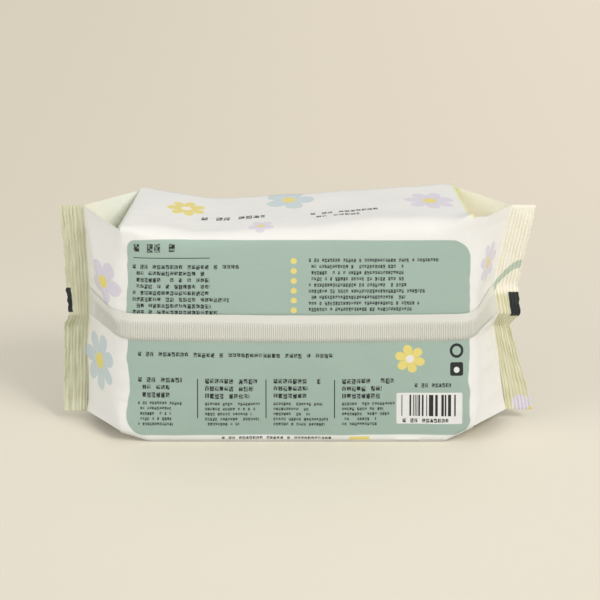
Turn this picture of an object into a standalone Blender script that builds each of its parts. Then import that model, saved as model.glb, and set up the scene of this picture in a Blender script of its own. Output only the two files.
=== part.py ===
"""A sealed pack of wet wipes in flow-wrap film, standing on one long side.

X runs along the pack from end seal to end seal. Y runs through its depth, with the back panel
and its fin seal at -Y and the front panel with the flip lid at +Y. Z is up. The origin is the
middle of the long side that the pack stands on. Sizes are in metres.
"""

import math

import bmesh
import bpy
from mathutils import Matrix, Vector

# Filled block
PACK_HEIGHT = 0.1000
PACK_DEPTH = 0.0560
HALF_BLOCK = {-1: 0.0754, 1: 0.0750}
FRONT_SHORTENING = {-1: 0.0092, 1: 0.0050}
BACK_BULGE = 0.0024
TOP_CORNER_RADIUS = 0.0075
FOOT_CORNER_RADIUS = 0.0024
END_CORNER_RADIUS = 0.0016

# How far the soft bends at the block's ends reach along its panels, and the share of each panel's
# height, at its top and bottom, over which they sharpen
BEND_REACH = 0.0070
BEND_FADE = 0.16

# Buckle across the left flap of the back panel, from the fin up to the top of the seal
BUCKLE_LOW = 0.0530
BUCKLE_HIGH = 0.0980
BUCKLE_RISE = 0.0022

# Upper side as (share of the half block, rise), and the underside's flat part and lifted ends
TOP_LINE = ((-1.0, -0.0004), (-0.48, -0.0032), (-0.1, -0.0004), (0.75, 0.0012), (1.0, 0.0026))
FLAT_FOOT_SHARE = 0.84
FOOT_LIFT = {-1: 0.0043, 1: 0.0066}

# Fin seal: the web's two long edges, sealed together along the back and folded up flat
FIN_ROOT_HEIGHT = 0.0488
FIN_WIDTH = 0.0124
FIN_THICKNESS = 0.0006
FIN_STANDOFF = 0.0006
FIN_SLIT_DEPTH = 0.0100
FIN_SEAL_STEP = 0.0003

# Tucked side gussets and the crimped end seals that hold them
TUCK_REACH = 0.73
TUCK_DEPTH = 0.0250
TUCK_STEPS = 6
GUSSET_DEPTH = 0.0270
GUSSET_GAP = 0.00024
SEAL_THICKNESS = 0.0010
SEAL_RIBS = 7
RIB_DEPTH = 0.0004

# Each buckled end seal from bottom to top, as (height, inner X, outer X, Y), with X to the outside
LEFT_SEAL = (
    (0.0046, 0.0956, 0.1066, -0.0008),
    (0.0180, 0.0950, 0.1062, 0.0000),
    (0.0330, 0.0945, 0.1055, 0.0010),
    (0.0444, 0.0940, 0.1051, 0.0022),
    (0.0516, 0.0928, 0.1019, -0.0036),
    (0.0638, 0.0926, 0.1031, -0.0008),
    (0.0760, 0.0930, 0.1034, 0.0004),
    (0.0890, 0.0934, 0.1038, 0.0003),
    (0.1014, 0.0938, 0.1043, -0.0002),
)
RIGHT_SEAL = (
    (0.0052, 0.0948, 0.1068, 0.0000),
    (0.0180, 0.0929, 0.1034, 0.0006),
    (0.0320, 0.0904, 0.0990, 0.0012),
    (0.0436, 0.0884, 0.0956, 0.0020),
    (0.0518, 0.0898, 0.0998, -0.0030),
    (0.0634, 0.0874, 0.0984, 0.0014),
    (0.0760, 0.0893, 0.1003, 0.0006),
    (0.0890, 0.0917, 0.1027, 0.0000),
    (0.1014, 0.0939, 0.1048, -0.0004),
)

# Moulded lid frame, glued on the middle of the front panel
SEAT_GAP = 0.0003
FRAME_CENTRE_HEIGHT = 0.0500
FRAME_LENGTH = 0.1080
FRAME_HEIGHT = 0.0700
FRAME_CORNER_RADIUS = 0.0160
FLANGE_WIDTH = 0.0030
FLANGE_THICKNESS = 0.0009
FRAME_WALL = 0.0012
WALL_DRAFT = 0.0008
LAND_RISE = 0.0056
LAND_WIDTH = 0.0032
RIM_RISE = 0.0014
RIM_WIDTH = 0.0014
WINDOW_LEDGE = 0.0034

# Flip lid
LID_CLEARANCE = 0.0003
LID_SKIN = 0.0014
LID_SIDE = 0.0021
LID_SHOULDER = 0.0020
LID_CROWN = 0.0018
PLUG_THICKNESS = 0.0010
PLUG_DEPTH = 0.0022
THUMB_TAB_REACH = 0.0028
THUMB_TAB_LENGTH = 0.0260
HINGE_REACH = 0.0012
HINGE_LENGTH = 0.0640

# Resealable label over the wipes' opening, inside the frame
LABEL_LENGTH = 0.0740
LABEL_HEIGHT = 0.0320
LABEL_RADIUS = 0.0100
LABEL_THICKNESS = 0.0003
PULL_TAB_REACH = 0.0050
PULL_TAB_LENGTH = 0.0180

# Mesh steps
ARC_STEPS = 4
RIM_CORNER_STEPS = 6
RIM_SIDE_STEPS = 12
STATIONS = (0.12, 0.36, 0.58, 0.74, FLAT_FOOT_SHARE, 0.91, 0.94, 0.97, 1.0)
FLAP_SHARES = [TUCK_REACH * step / TUCK_STEPS for step in range(1, TUCK_STEPS + 1)] + [0.87]

HALF_DEPTH = PACK_DEPTH / 2
SEAT_Y = HALF_DEPTH + SEAT_GAP

# Columns of every wrapper section, counted from the lower edge of the back panel
TOP_COLUMNS = range(15, 26)
BOTTOM_COLUMNS = range(35, 46)
BACK_LAYER = (0, 1, 2, 3, 4, 11, 12, 13, 14)
FRONT_LAYER = (34, 33, 32, 31, 30, 29, 28, 27, 26)


def blend(first, second, share):
    return first + (second - first) * share


def smooth_step(share):
    share = min(1.0, max(0.0, share))
    return share * share * (3 - 2 * share)


def make_material(name, colour, roughness):
    material = bpy.data.materials.new(name)
    material.use_nodes = True
    shader = material.node_tree.nodes["Principled BSDF"]
    shader.inputs["Base Color"].default_value = (*colour, 1.0)
    shader.inputs["Roughness"].default_value = roughness
    shader.inputs["Metallic"].default_value = 0.0
    material.diffuse_color = (*colour, 1.0)
    return material


def skin(mesh, loops, closed_ring=False):
    """Joins each loop of points to the next one with quads and returns the rings of vertices."""
    rings = [[mesh.verts.new(point) for point in loop] for loop in loops]
    following = rings[1:] + (rings[:1] if closed_ring else [])
    for ring, other in zip(rings, following):
        for i in range(len(ring)):
            j = (i + 1) % len(ring)
            mesh.faces.new((ring[i], ring[j], other[j], other[i]))
    return rings


def finish_object(name, mesh, materials):
    bmesh.ops.recalc_face_normals(mesh, faces=mesh.faces)
    data = bpy.data.meshes.new(name)
    mesh.to_mesh(data)
    mesh.free()
    for material in materials:
        data.materials.append(material)
    data.shade_smooth()
    data.set_sharp_from_angle(angle=math.radians(30))
    thing = bpy.data.objects.new(name, data)
    bpy.context.scene.collection.objects.link(thing)
    return thing


def top_rise(share):
    for (left, low), (right, high) in zip(TOP_LINE, TOP_LINE[1:]):
        if share <= right:
            return blend(low, high, smooth_step((share - left) / (right - left)))
    return TOP_LINE[-1][1]


def foot_rise(share):
    lift = FOOT_LIFT[1 if share > 0 else -1]
    return lift * max(0.0, abs(share) - FLAT_FOOT_SHARE) / (1 - FLAT_FOOT_SHARE)


def quarter_turn(y, z, radius, start):
    """Points of a quarter circle about (y, z), from the angle start towards smaller angles."""
    angles = [math.radians(start - 90 * step / ARC_STEPS) for step in range(ARC_STEPS + 1)]
    return [(y + radius * math.cos(a), z + radius * math.sin(a)) for a in angles]


def fin_section(panel_y):
    """The folded fin: out at its root, up its face, over the free edge and down the slit behind it."""
    face = panel_y - FIN_STANDOFF - FIN_THICKNESS
    tip = FIN_ROOT_HEIGHT + FIN_WIDTH
    slit = tip - FIN_SLIT_DEPTH
    return [
        (panel_y, FIN_ROOT_HEIGHT),
        (face, FIN_ROOT_HEIGHT + 0.1 * FIN_WIDTH),
        (face, FIN_ROOT_HEIGHT + 0.6 * FIN_WIDTH),
        (face, tip),
        (face + FIN_THICKNESS, tip),
        (panel_y - 0.5 * FIN_STANDOFF, slit),
        (panel_y, slit),
    ]


def block_loop(share):
    """One section through the filled block, where share runs from -1 at the left end to 1 at the right."""
    side = 1 if share > 0 else -1
    roundness = smooth_step((1 - abs(share)) / 0.22)
    top_radius = blend(END_CORNER_RADIUS, TOP_CORNER_RADIUS, roundness)
    foot_radius = blend(END_CORNER_RADIUS, FOOT_CORNER_RADIUS, roundness)
    low = foot_rise(share)
    high = PACK_HEIGHT + top_rise(share)
    panel_low, panel_high = low + foot_radius, high - top_radius
    middle = (panel_low + panel_high) / 2
    tip = FIN_ROOT_HEIGHT + FIN_WIDTH
    lower = [blend(panel_low, FIN_ROOT_HEIGHT, t) for t in (0.0, 0.35, 0.7, 0.9)]
    upper = [blend(tip, panel_high, t) for t in (0.0, 0.33, 0.67, 1.0)]

    def back_y(z):
        across = (z - middle) / (panel_high - middle)
        return -HALF_DEPTH - BACK_BULGE * (1 - share * share) * max(0.0, 1 - across * across)

    section = [(back_y(z), z) for z in lower]
    section += fin_section(back_y(FIN_ROOT_HEIGHT))
    section += [(back_y(z), z) for z in upper]
    edge = HALF_DEPTH - top_radius
    section += quarter_turn(-edge, panel_high, top_radius, 180)[1:]
    section += [(edge * t, high) for t in (-0.5, 0.0, 0.5)]
    section += quarter_turn(edge, panel_high, top_radius, 90)[:-1]
    section += [(HALF_DEPTH, z) for z in reversed([*lower, FIN_ROOT_HEIGHT, *upper])]
    edge = HALF_DEPTH - foot_radius
    section += quarter_turn(edge, panel_low, foot_radius, 0)[1:]
    section += [(edge * t, low) for t in (0.5, 0.0, -0.5)]
    section += quarter_turn(-edge, panel_low, foot_radius, -90)[:-1]
    loop = []
    for y, z in section:
        half_length = HALF_BLOCK[side] - FRONT_SHORTENING[side] * max(0.0, y + HALF_DEPTH) / PACK_DEPTH
        loop.append(Vector((share * half_length, y, z)))
    return loop


def walk(line, distance):
    """The point this far along a line of points from its first one."""
    for start, end in zip(line, line[1:]):
        step = (end - start).length
        if distance <= step:
            return start.lerp(end, distance / step)
        distance -= step
    return line[-1]


def gusset_columns(ridge, notch):
    """Columns over a seal's end, from its back layer to its front one, folded down into a notch."""
    points = []
    for step in range(1, 12):
        share = step / 12
        if notch:
            depth = notch * (1 - abs(2 * share - 1))
            offset = GUSSET_GAP / 2 * max(-1.0, min(1.0, (step - 6) / 2))
            points.append(walk(ridge, depth) + Vector((0, offset, 0)))
        else:
            offset = SEAL_THICKNESS * (share - 0.5)
            rounding = (ridge[0] - ridge[1]).normalized() * (0.0003 * math.sin(math.pi * share))
            points.append(ridge[0] + rounding + Vector((0, offset, 0)))
    return points


def seal_loop(side, strip, share, wave, notch):
    """One section through an end seal, from share 0 at its inner edge to 1 at its cut edge."""
    ridge = []
    for height, inner, outer, y in strip:
        ridge.append(Vector((side * blend(inner, outer, share), y + wave, height)))
    half = Vector((0, SEAL_THICKNESS / 2, 0))
    back = [point - half for point in ridge]
    root, tip = back[4], back[5]
    step = Vector((0, -FIN_SEAL_STEP, 0))
    fin = [root, root.lerp(tip, 0.1) + step, root.lerp(tip, 0.6) + step]
    fin += [tip + step * t for t in (1.0, 0.75, 0.5, 0.25)]
    loop = back[:4] + fin + back[5:]
    loop += gusset_columns(ridge[::-1], notch)
    loop += [point + half for point in reversed(ridge)]
    loop += reversed(gusset_columns(ridge, notch))
    return loop


def spread_evenly(loop):
    """Spaces the long sides' columns evenly, so that the gussets' diagonal folds can follow them."""
    for columns in (TOP_COLUMNS, BOTTOM_COLUMNS):
        path = [loop[column % len(loop)] for column in range(columns[0] - 1, columns[-1] + 2)]
        total = sum((end - start).length for start, end in zip(path, path[1:]))
        for step, column in enumerate(columns, start=1):
            loop[column] = walk(path, total * step / (len(columns) + 1))
    return loop


def tuck(columns, inwards, share, block_end, seal_start):
    """A long side's columns over the flaps: two wings, and the triangle that narrows between them."""
    count = len(block_end)
    corners = (block_end[columns[0] - 1], block_end[(columns[-1] + 1) % count])
    seals = (seal_start[columns[0] - 1], seal_start[(columns[-1] + 1) % count])
    edges = [blend(a, b, share) for a, b in zip(corners, seals)]
    ends = [blend(a, b, TUCK_REACH) for a, b in zip(corners, seals)]
    apex = (ends[0] + ends[1]) / 2 + Vector((0, 0, inwards * TUCK_DEPTH))
    part = min(1.0, share / TUCK_REACH)
    folds = [blend(corner, apex, part) for corner in corners]
    points = []
    for step, column in enumerate(columns, start=1):
        place = step / (len(columns) + 1)
        wing = 0 if place < 0.5 else 1
        from_edge = min(place, 1 - place)
        if share > TUCK_REACH:
            at_apex = blend(ends[wing], apex, 2 * from_edge)
            beyond = (share - TUCK_REACH) / (1 - TUCK_REACH)
            points.append(blend(at_apex, seal_start[column], beyond))
        elif from_edge < part / 2:
            points.append(blend(edges[wing], folds[wing], 2 * from_edge / part))
        elif part == 1:
            points.append(apex)
        else:
            middle = (place - part / 2) / (1 - part)
            rounding = block_end[column] - blend(corners[0], corners[1], place)
            points.append(blend(folds[0], folds[1], middle) + rounding * (1 - part) ** 2)
    return points


def bend_turns(side, block_end, seal_start):
    """How each column turns at the block's end, as the change of its direction and the bend's reach."""
    low, high = block_end[0].z, block_end[14].z
    turns = []
    for column, (start, end) in enumerate(zip(block_end, seal_start)):
        on_panel = column <= BACK_LAYER[-1] or FRONT_LAYER[-1] <= column <= FRONT_LAYER[0]
        place = (start.z - low) / (high - low)
        fade = smooth_step(min(place, 1 - place) / BEND_FADE) if on_panel else 0.0
        change = (end - start).normalized() - Vector((side, 0, 0))
        turns.append((change, BEND_REACH * fade))
    return turns


def bend(loop, distances, turns):
    """Moves the film into the soft bend, by each column's distance from the block's end."""
    bent = []
    for point, distance, (change, reach) in zip(loop, distances, turns):
        rest = max(0.0, reach - abs(distance))
        bent.append(point + change * (rest * rest / (4 * reach)) if rest else point)
    return bent


def buckle_left_flap(loop, share):
    """Raises the ridge across the flap's upper half, which runs from the fin up to the seal's top."""
    for column in BACK_LAYER[5:]:
        climb = (loop[column].z - BUCKLE_LOW) / (BUCKLE_HIGH - BUCKLE_LOW)
        if 0 < climb < 1:
            crest = blend(0.08, 0.92, climb)
            rise = BUCKLE_RISE * math.sin(math.pi * climb) * min(share / crest, (1 - share) / (1 - crest))
            loop[column] += Vector((-0.85, -0.52, 0)) * rise


def side_loops(side, strip):
    """All sections of one half of the pack, from its middle outwards to the end seal's cut edge."""
    block_end = spread_evenly(block_loop(side))
    seal_start = seal_loop(side, strip, 0.0, 0.0, GUSSET_DEPTH)
    turns = bend_turns(side, block_end, seal_start)
    loops = []
    for share in STATIONS:
        distances = [(1 - share) * abs(point.x) for point in block_end]
        loop = block_end if share == 1 else block_loop(side * share)
        loops.append(bend(loop, distances, turns))
    for share in FLAP_SHARES:
        loop = [blend(a, b, share) for a, b in zip(block_end, seal_start)]
        loop = bend(loop, [share * (b - a).length for a, b in zip(block_end, seal_start)], turns)
        if side < 0:
            buckle_left_flap(loop, share)
        for columns, inwards in ((TOP_COLUMNS, -1), (BOTTOM_COLUMNS, 1)):
            for column, point in zip(columns, tuck(columns, inwards, share, block_end, seal_start)):
                loop[column] = point
        loops.append(loop)
    loops.append(seal_start)
    for step in range(2 * SEAL_RIBS + 1):
        share = blend(0.06, 1.0, step / (2 * SEAL_RIBS))
        wave = RIB_DEPTH * (0.5 if step % 2 else -0.5)
        loops.append(seal_loop(side, strip, share, wave, 0.0))
    return loops


def crease_gussets(mesh, rings):
    """Runs an edge along each gusset's two diagonal folds, from the block's end to the gusset's apex."""
    block_end = len(STATIONS) - 1
    for columns in (TOP_COLUMNS, BOTTOM_COLUMNS):
        for corner, way in ((columns[0] - 1, 1), (columns[-1] + 1, -1)):
            for step in range(TUCK_STEPS):
                ends = []
                for further in (step, step + 1):
                    ring = rings[block_end + further]
                    ends.append(ring[(corner + way * further) % len(ring)])
                bmesh.ops.connect_vert_pair(mesh, verts=ends)


def close_cut_edge(mesh, ring):
    """Fills the cut edge of an end seal between its back and front layers."""
    pairs = list(zip(BACK_LAYER, FRONT_LAYER))
    for (back, front), (next_back, next_front) in zip(pairs, pairs[1:]):
        mesh.faces.new([*ring[back : next_back + 1], ring[next_front], ring[front]])
    mesh.faces.new(ring[BACK_LAYER[-1] : FRONT_LAYER[-1] + 1])
    mesh.faces.new([*ring[FRONT_LAYER[0] :], ring[BACK_LAYER[0]]])


def make_film_pack(film, print_field, seal_film):
    """The closed pack: filled block, folded flaps, tucked gussets, crimped seals and the fin."""
    mesh = bmesh.new()
    left, right = side_loops(-1, LEFT_SEAL), side_loops(1, RIGHT_SEAL)
    rings = skin(mesh, left[::-1] + right)
    crease_gussets(mesh, rings[len(left) - 1 :: -1])
    crease_gussets(mesh, rings[len(left) :])
    close_cut_edge(mesh, rings[0])
    close_cut_edge(mesh, rings[-1])
    fin_tip = FIN_ROOT_HEIGHT + FIN_WIDTH
    for face in mesh.faces:
        centre = face.calc_center_median()
        half_block = HALF_BLOCK[1 if centre.x > 0 else -1]
        in_field = abs(centre.x) < half_block and centre.y < -0.9 * HALF_DEPTH
        on_fin = FIN_ROOT_HEIGHT < centre.z < fin_tip + 0.0005
        if abs(centre.x) > half_block + 0.012:
            face.material_index = 2
        elif in_field and not on_fin:
            face.material_index = 1
    return finish_object("film_pack", mesh, [film, print_field, seal_film])


def rim_loop(half_x, half_z, radius, rise, tab=(0.0, 0.0), lip=(0.0, 0.0)):
    """A rounded rectangle over the front panel, with a tab below and a lip above as (reach, length)."""
    flat = half_x - radius
    points = []
    for turn, (side_x, side_z) in enumerate(((1, -1), (1, 1), (-1, 1), (-1, -1))):
        for step in range(RIM_CORNER_STEPS + 1):
            angle = math.radians(90 * (turn - 1 + step / RIM_CORNER_STEPS))
            x = side_x * flat + radius * math.cos(angle)
            z = side_z * (half_z - radius) + radius * math.sin(angle)
            points.append((x, z))
        if turn in (1, 3):
            reach, length = lip if turn == 1 else tab
            for step in range(1, RIM_SIDE_STEPS):
                x = side_x * flat * (1 - 2 * step / RIM_SIDE_STEPS)
                swell = smooth_step((length / 2 - abs(x)) / 0.006 + 0.5) if length else 0.0
                points.append((x, side_z * (half_z + reach * swell)))
    return [Vector((x, SEAT_Y + rise, FRAME_CENTRE_HEIGHT + z)) for x, z in points]


def frame_loop(inset, rise, tab_reach=0.0, lip_reach=0.0):
    """A loop this far inside the frame's outer edge and this high above its seat."""
    radius = max(FRAME_CORNER_RADIUS - inset, 0.003)
    tab = (tab_reach, THUMB_TAB_LENGTH)
    lip = (lip_reach, HINGE_LENGTH)
    return rim_loop(FRAME_LENGTH / 2 - inset, FRAME_HEIGHT / 2 - inset, radius, rise, tab, lip)


WALL_TOP = FLANGE_WIDTH + WALL_DRAFT
LAND_END = WALL_TOP + LAND_WIDTH
RIM_END = LAND_END + RIM_WIDTH


def make_lid_frame(plastic):
    """The glued base of the lid: flange, hollow wall with its land, raised rim and window ledge."""
    window = RIM_END + WINDOW_LEDGE
    roof = LAND_RISE - FRAME_WALL
    rim_top = LAND_RISE + RIM_RISE
    loops = (
        frame_loop(0.0, 0.0),
        frame_loop(0.0, 0.7 * FLANGE_THICKNESS),
        frame_loop(0.0004, FLANGE_THICKNESS),
        frame_loop(FLANGE_WIDTH, FLANGE_THICKNESS),
        frame_loop(WALL_TOP, LAND_RISE - 0.0016),
        frame_loop(WALL_TOP, LAND_RISE - 0.0007, lip_reach=HINGE_REACH),
        frame_loop(WALL_TOP + 0.0001, LAND_RISE, lip_reach=HINGE_REACH),
        frame_loop(LAND_END, LAND_RISE),
        frame_loop(LAND_END + 0.0001, rim_top - 0.0003),
        frame_loop(LAND_END + 0.0004, rim_top),
        frame_loop(RIM_END - 0.0005, rim_top),
        frame_loop(RIM_END - 0.0002, rim_top - 0.0003),
        frame_loop(RIM_END, 1.8 * FLANGE_THICKNESS),
        frame_loop(RIM_END + 0.0007, FLANGE_THICKNESS),
        frame_loop(window, FLANGE_THICKNESS),
        frame_loop(window, 0.0),
        frame_loop(RIM_END - FRAME_WALL, 0.0),
        frame_loop(RIM_END - FRAME_WALL, roof),
        frame_loop(WALL_TOP + FRAME_WALL, roof),
        frame_loop(FLANGE_WIDTH + FRAME_WALL, 0.0),
    )
    mesh = bmesh.new()
    skin(mesh, loops, closed_ring=True)
    return finish_object("lid_frame", mesh, [plastic])


def make_lid(plastic):
    """The flip lid: crowned plate, skirt, plug ring that enters the rim, thumb tab and hinge lip."""
    seat = LAND_RISE + LID_CLEARANCE
    over_rim = seat + RIM_RISE
    shoulder = over_rim + LID_SKIN
    shoulder_inset = WALL_TOP + LID_SHOULDER
    crown_inset = FRAME_HEIGHT / 2 - 0.004
    plug_out = RIM_END + LID_CLEARANCE
    plug_in = plug_out + PLUG_THICKNESS
    lip = HINGE_REACH - LID_CLEARANCE / 2

    def top(inset):
        share = (inset - shoulder_inset) / (crown_inset - shoulder_inset)
        return shoulder + LID_CROWN * (1 - (1 - share) ** 2)

    underside = [frame_loop(i, top(i) - LID_SKIN) for i in (crown_inset, 0.022, 0.015, plug_in)]
    plug = [frame_loop(plug_in, over_rim - PLUG_DEPTH), frame_loop(plug_out, over_rim - PLUG_DEPTH)]
    skirt = [
        frame_loop(plug_out, over_rim),
        frame_loop(LAND_END - LID_CLEARANCE, over_rim),
        frame_loop(LAND_END - LID_CLEARANCE, seat),
        frame_loop(WALL_TOP + 0.0003, seat, THUMB_TAB_REACH, lip),
        frame_loop(WALL_TOP, seat + 0.0003, THUMB_TAB_REACH, lip),
        frame_loop(WALL_TOP, seat + 0.0010, THUMB_TAB_REACH, 0.8 * lip),
        frame_loop(WALL_TOP, seat + LID_SIDE - 0.0006, 0.9 * THUMB_TAB_REACH),
        frame_loop(WALL_TOP + 0.0005, seat + LID_SIDE, 0.8 * THUMB_TAB_REACH),
    ]
    outside = [frame_loop(shoulder_inset, shoulder)]
    outside += [frame_loop(i, top(i)) for i in (0.009, 0.015, 0.022, crown_inset)]
    mesh = bmesh.new()
    rings = skin(mesh, underside + plug + skirt + outside)
    mesh.faces.new(rings[0])
    mesh.faces.new(rings[-1])
    lid = finish_object("flip_lid", mesh, [plastic])
    hinge_height = FRAME_CENTRE_HEIGHT + FRAME_HEIGHT / 2 - WALL_TOP + HINGE_REACH
    hinge = Vector((0, SEAT_Y + LAND_RISE + LID_CLEARANCE / 2, hinge_height))
    lid.data.transform(Matrix.Translation(-hinge))
    lid.location = hinge
    return lid


def make_reseal_label(label_film):
    """The thin peelable label with its pull tab, lying on the film inside the frame's window."""
    tab = (PULL_TAB_REACH, PULL_TAB_LENGTH)
    loops = []
    for rise in (0.0, LABEL_THICKNESS):
        loops.append(rim_loop(LABEL_LENGTH / 2, LABEL_HEIGHT / 2, LABEL_RADIUS, rise, tab))
    mesh = bmesh.new()
    for ring in skin(mesh, loops):
        mesh.faces.new(ring)
    return finish_object("reseal_label", mesh, [label_film])


for thing in list(bpy.data.objects):
    bpy.data.objects.remove(thing)
make_film_pack(
    make_material("printed_film", (0.86, 0.85, 0.80), 0.38),
    make_material("print_field", (0.50, 0.63, 0.53), 0.42),
    make_material("seal_film", (0.74, 0.74, 0.52), 0.34),
)
lid_plastic = make_material("lid_plastic", (0.80, 0.84, 0.76), 0.35)
make_lid_frame(lid_plastic)
make_lid(lid_plastic)
make_reseal_label(make_material("label_film", (0.84, 0.86, 0.84), 0.30))
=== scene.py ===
import math

import bmesh
import bpy
import numpy as np
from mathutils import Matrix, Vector, noise


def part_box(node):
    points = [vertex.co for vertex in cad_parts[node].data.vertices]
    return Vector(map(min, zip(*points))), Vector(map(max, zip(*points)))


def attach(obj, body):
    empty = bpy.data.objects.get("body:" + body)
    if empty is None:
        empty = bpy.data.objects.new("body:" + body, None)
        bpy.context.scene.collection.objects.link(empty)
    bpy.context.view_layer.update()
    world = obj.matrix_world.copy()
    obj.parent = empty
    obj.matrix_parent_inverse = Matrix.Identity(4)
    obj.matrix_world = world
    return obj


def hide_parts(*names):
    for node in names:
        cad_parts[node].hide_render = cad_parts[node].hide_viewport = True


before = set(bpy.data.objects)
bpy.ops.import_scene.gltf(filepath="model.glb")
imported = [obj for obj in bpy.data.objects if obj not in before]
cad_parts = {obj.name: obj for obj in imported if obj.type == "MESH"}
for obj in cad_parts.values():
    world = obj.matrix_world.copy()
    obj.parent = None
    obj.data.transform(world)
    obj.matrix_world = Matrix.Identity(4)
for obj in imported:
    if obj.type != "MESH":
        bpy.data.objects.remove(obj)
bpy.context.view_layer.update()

# Film pack: one web of printed laminate film, folded round a block of wipes. The long sides are
# tucked in between the end flaps as gussets, and heated jaws crimp both ends into ribbed seals.
# Each surface point has a place on the flat web, which its UV map keeps in metres for the print.
front_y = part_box("film_pack")[1][1]
# The block that the wipes fill, with what its ends, its foot and its top side add to a plain box
block_height = 0.1000
half_block = {-1: 0.0754, 1: 0.0750}
front_shortening = {-1: 0.0046, 1: 0.0048}
foot_spread = 0.0030
back_bulge = 0.0024
near_top_radius = 0.0075
far_top_radius = 0.0036
foot_radius = 0.0013
end_radius = 0.0012
corner_run = 0.22
flat_foot = 0.84
foot_lift = {-1: 0.0043, 1: 0.0066}
top_line = ((-1.0, 0.0011), (-0.5, -0.0027), (-0.05, -0.0012), (0.75, 0.0025), (1.0, 0.0031))
near_drop = 0.0011
puff_rise = 0.0024
# The end flaps: the soft bend where they start, and the buckle that crosses the left one
bend_reach = 0.0070
bend_fade = 0.16
buckle_low = 0.0530
buckle_high = 0.0980
buckle_rise = 0.0034
buckle_crest = (0.08, 0.92)
buckle_way = (-0.85, -0.52, 0.0)
# The gussets, whose folds meet in an apex at this share of the way to the seal
apex_reach = 0.73
apex_depth = 0.0250
gusset_depth = 0.0270
gusset_slit = 0.0002
gusset_clearance = 0.0009
# The end seals
seal_thickness = 0.0005
seal_ribs = 7
seal_shoulder = 0.03
rib_depth = 0.00044
rib_unevenness = 0.35
fold_round = 0.0002
cut_waver = 0.00022
tooth_pitch = 0.0024
tooth_depth = 0.0006
# Places up the panel where the end seals bend, and each seal's line there
fold_places = (0.0, 0.05, 0.14, 0.29, 0.41, 0.485, 0.61, 0.74, 0.87, 1.0)
seal_lines = {
    -1: {
        "bottom": 0.0046,
        "top": 0.1014,
        "inner": (0.0956, 0.0954, 0.0950, 0.0945, 0.0940, 0.0928, 0.0926, 0.0930, 0.0934, 0.0938),
        "outer": (0.1064, 0.1064, 0.1062, 0.1055, 0.1051, 0.1019, 0.1031, 0.1034, 0.1038, 0.1043),
        "y": (-0.0030, -0.0008, 0.0000, 0.0010, 0.0022, -0.0036, -0.0008, 0.0004, 0.0003, -0.0002),
    },
    1: {
        "bottom": 0.0052,
        "top": 0.1014,
        "inner": (0.0948, 0.0942, 0.0929, 0.0904, 0.0884, 0.0898, 0.0874, 0.0893, 0.0917, 0.0939),
        "outer": (0.1066, 0.1060, 0.1034, 0.0990, 0.0956, 0.0998, 0.0984, 0.1003, 0.1027, 0.1048),
        "y": (-0.0026, -0.0006, 0.0006, 0.0012, 0.0020, -0.0030, 0.0014, 0.0006, 0.0000, -0.0004),
    },
}
# Steps of the mesh
block_steps = 128
wing_steps = 16
throat_steps = 8
steps_per_rib = 6
panel_pitch = 0.0015


def blend(first, second, share):
    return first + (second - first) * share


def smooth_step(share):
    share = np.clip(share, 0.0, 1.0)
    return share * share * (3 - 2 * share)


def rising(values, start, run):
    """0 up to the start, 1 past the run, and a smooth rise between them."""
    return smooth_step((values - start) / run)


def path_lengths(path):
    """Distances along a path of points, from its first one."""
    return np.concatenate([[0], np.cumsum(np.linalg.norm(np.diff(path, axis=0), axis=1))])


def along_path(path, distances):
    lengths = path_lengths(path)
    return np.stack([np.interp(distances, lengths, values) for values in path.T], axis=1)


# Rows of the web up a panel: evenly spaced, with one exactly on every fold of the end seals
panel_rows = [0.0]
for low, high in zip(fold_places, fold_places[1:]):
    count = max(1, round((high - low) * block_height / panel_pitch))
    panel_rows += [blend(low, high, step / count) for step in range(1, count + 1)]
panel_rows = np.array(panel_rows)
strip_rows = np.linspace(0.0, 1.0, 2 * wing_steps + 1)
rows_up = len(panel_rows) - 1
rows_over = 2 * wing_steps
front_start = rows_up + rows_over
foot_start = front_start + rows_up
web_rows = foot_start + rows_over
# Both long sides, as their first row, their last one, and the way into the pack
long_sides = ((rows_up, front_start, -1), (foot_start, web_rows, 1))


def rounded_strip(near_side, near_radius, far_side, far_radius, outwards):
    """The rows of a long side of the block, over both of its rounded corners."""
    turns = np.linspace(0, math.pi / 2, 9)
    corners = []
    for y, side, radius in ((-front_y, near_side, near_radius), (front_y, far_side, far_radius)):
        rise = side - outwards * radius * (1 - np.sin(turns))
        corners.append(np.stack([y - math.copysign(radius, y) * (1 - np.cos(turns)), rise], axis=1))
    path = np.concatenate([corners[0], corners[1][::-1]])
    return along_path(path, strip_rows * path_lengths(path)[-1])


def rise_of_top(share):
    for (left, low), (right, high) in zip(top_line, top_line[1:]):
        if share <= right:
            return blend(low, high, smooth_step((share - left) / (right - left)))
    return top_line[-1][1]


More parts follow.
